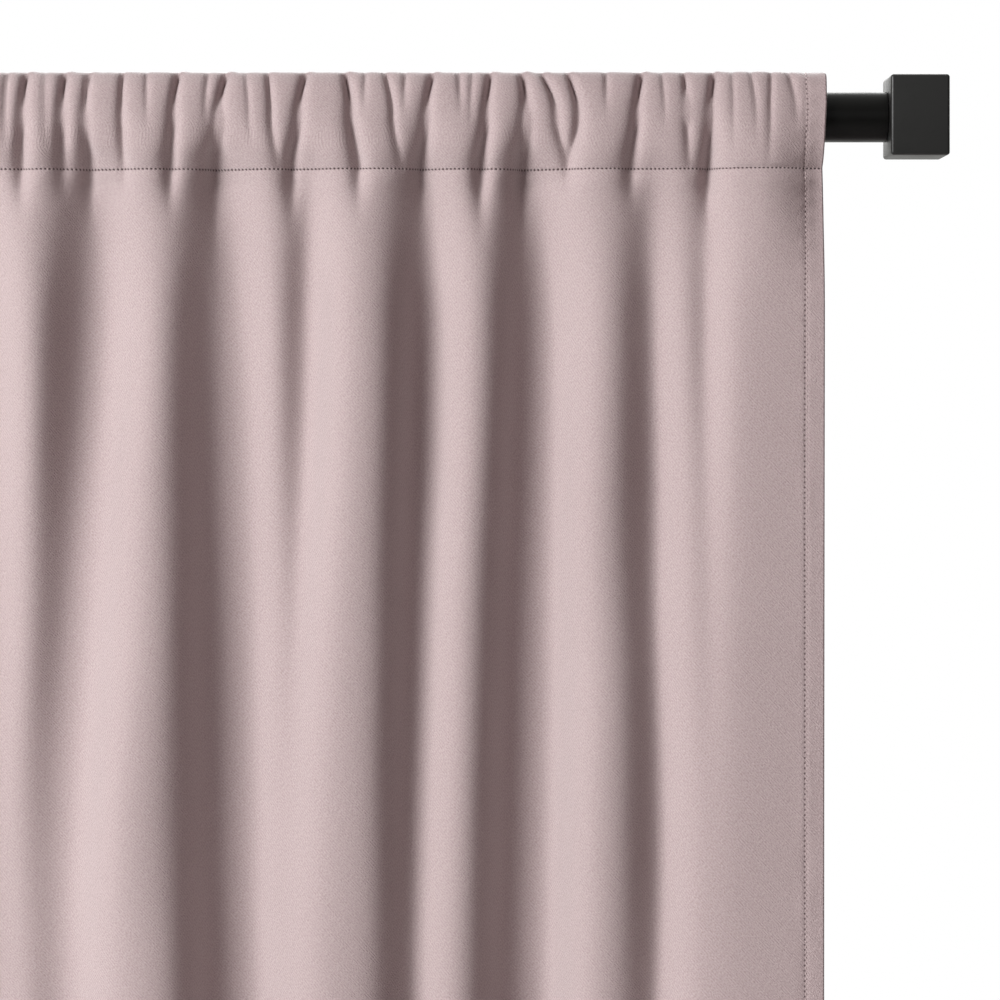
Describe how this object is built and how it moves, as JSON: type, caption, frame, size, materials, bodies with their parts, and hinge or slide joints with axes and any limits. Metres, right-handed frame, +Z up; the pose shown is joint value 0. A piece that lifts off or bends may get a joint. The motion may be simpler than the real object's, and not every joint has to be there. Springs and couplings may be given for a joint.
{
  "type": "window curtains on a rod",
  "caption": "Rod-pocket curtain panels gathered on a telescoping round rod with square block finials, held off the wall by adjustable cradle brackets.",
  "frame": {"origin": "centre of the middle wall plate's back face, on the wall plane and level with the rod's axis", "axes": "+X along the rod to the right as seen from the room, +Y into the wall, -Y into the room, +Z up"},
  "size_m": [1.6096, 0.1353, 1.6046],
  "materials": {
    "mauve_cloth": "matt dusty mauve triple-weave twill",
    "black_powder_coat": "semi-matt black powder coat",
    "zinc_steel": "zinc-plated steel",
    "black_nylon": "moulded black nylon"
  },
  "bodies": {
    "wall_brackets": {"left_wall_plate": "black_powder_coat", "left_upper_wall_screw": "zinc_steel", "left_lower_wall_screw": "zinc_steel", "centre_wall_plate": "black_powder_coat", "centre_upper_wall_screw": "zinc_steel", "centre_lower_wall_screw": "zinc_steel", "right_wall_plate": "black_powder_coat", "right_upper_wall_screw": "zinc_steel", "right_lower_wall_screw": "zinc_steel"},
    "rod_frame": {"left_arm": "black_powder_coat", "left_cradle": "black_powder_coat", "left_cradle_screw": "zinc_steel", "centre_arm": "black_powder_coat", "centre_cradle": "black_powder_coat", "centre_cradle_screw": "zinc_steel", "right_arm": "black_powder_coat", "right_cradle": "black_powder_coat", "right_cradle_screw": "zinc_steel", "outer_tube": "black_powder_coat", "step_collar": "black_nylon", "right_end_plug": "black_nylon"},
    "inner_rod": {"inner_tube": "black_powder_coat", "left_end_plug": "black_nylon"},
    "right_finial_turned": {"right_finial": "black_powder_coat", "right_finial_stud": "zinc_steel"},
    "left_finial_turned": {"left_finial": "black_powder_coat", "left_finial_stud": "zinc_steel"},
    "right_panel": {"right_cloth": "mauve_cloth", "right_rod_pocket": "mauve_cloth", "right_bottom_hem": "mauve_cloth", "right_outer_hem": "mauve_cloth", "right_outer_pocket_end": "mauve_cloth"},
    "right_leading_edge": {"right_leading_hem": "mauve_cloth", "right_leading_pocket_end": "mauve_cloth"},
    "left_panel": {"left_cloth": "mauve_cloth", "left_rod_pocket": "mauve_cloth", "left_bottom_hem": "mauve_cloth", "left_outer_hem": "mauve_cloth", "left_outer_pocket_end": "mauve_cloth"},
    "left_leading_edge": {"left_leading_hem": "mauve_cloth", "left_leading_pocket_end": "mauve_cloth"},
    "left_lock": {"left_lock_screw": "black_powder_coat"},
    "left_grub": {"left_grub_screw": "black_powder_coat"},
    "centre_lock": {"centre_lock_screw": "black_powder_coat"},
    "centre_grub": {"centre_grub_screw": "black_powder_coat"},
    "right_lock": {"right_lock_screw": "black_powder_coat"},
    "right_grub": {"right_grub_screw": "black_powder_coat"}
  },
  "joints": [
    {"name": "draw_left", "type": "slide", "parent": "left_panel", "child": "left_leading_edge", "axis": [-1, 0, 0], "range_m": [0, 0.458], "deforming": ["left_cloth", "left_rod_pocket", "left_bottom_hem"]},
    {"name": "draw_right", "type": "slide", "parent": "right_panel", "child": "right_leading_edge", "axis": [1, 0, 0], "range_m": [0, 0.458], "deforming": ["right_cloth", "right_rod_pocket", "right_bottom_hem"]},
    {"name": "extend_rod", "type": "slide", "parent": "rod_frame", "child": "inner_rod", "axis": [-1, 0, 0], "range_m": [-0.025, 0.45]},
    {"name": "finial_turn_left", "type": "hinge", "parent": "inner_rod", "child": "left_finial_turned", "pos_m": [-0.775, -0.09, 0], "axis": [-1, 0, 0], "continuous": true},
    {"name": "finial_turn_right", "type": "hinge", "parent": "rod_frame", "child": "right_finial_turned", "pos_m": [0.775, -0.09, 0], "axis": [1, 0, 0], "continuous": true},
    {"name": "grub_turn_centre", "type": "hinge", "parent": "rod_frame", "child": "centre_grub", "pos_m": [0, -0.09, -0.016], "axis": [0, 0, 1], "range_deg": [-360, 0]},
    {"name": "grub_turn_left", "type": "hinge", "parent": "rod_frame", "child": "left_grub", "pos_m": [-0.673, -0.09, -0.016], "axis": [0, 0, 1], "range_deg": [-360, 0]},
    {"name": "grub_turn_right", "type": "hinge", "parent": "rod_frame", "child": "right_grub", "pos_m": [0.673, -0.09, -0.016], "axis": [0, 0, 1], "range_deg": [-360, 0]},
    {"name": "lock_turn_centre", "type": "hinge", "parent": "wall_brackets", "child": "centre_lock", "pos_m": [0, -0.041, -0.015], "axis": [0, 0, 1], "range_deg": [-720, 0]},
    {"name": "lock_turn_left", "type": "hinge", "parent": "wall_brackets", "child": "left_lock", "pos_m": [-0.673, -0.041, -0.015], "axis": [0, 0, 1], "range_deg": [-720, 0]},
    {"name": "lock_turn_right", "type": "hinge", "parent": "wall_brackets", "child": "right_lock", "pos_m": [0.673, -0.041, -0.015], "axis": [0, 0, 1], "range_deg": [-720, 0]},
    {"name": "projection_adjust", "type": "slide", "parent": "wall_brackets", "child": "rod_frame", "axis": [0, -1, 0], "range_m": [-0.012, 0.02]},
    {"name": "swing_left", "type": "hinge", "parent": "rod_frame", "child": "left_panel", "pos_m": [-0.375, -0.09, 0], "axis": [-1, 0, 0], "range_deg": [-2, 12]},
    {"name": "swing_right", "type": "hinge", "parent": "rod_frame", "child": "right_panel", "pos_m": [0.375, -0.09, 0], "axis": [-1, 0, 0], "range_deg": [-2, 12]}
  ]
}
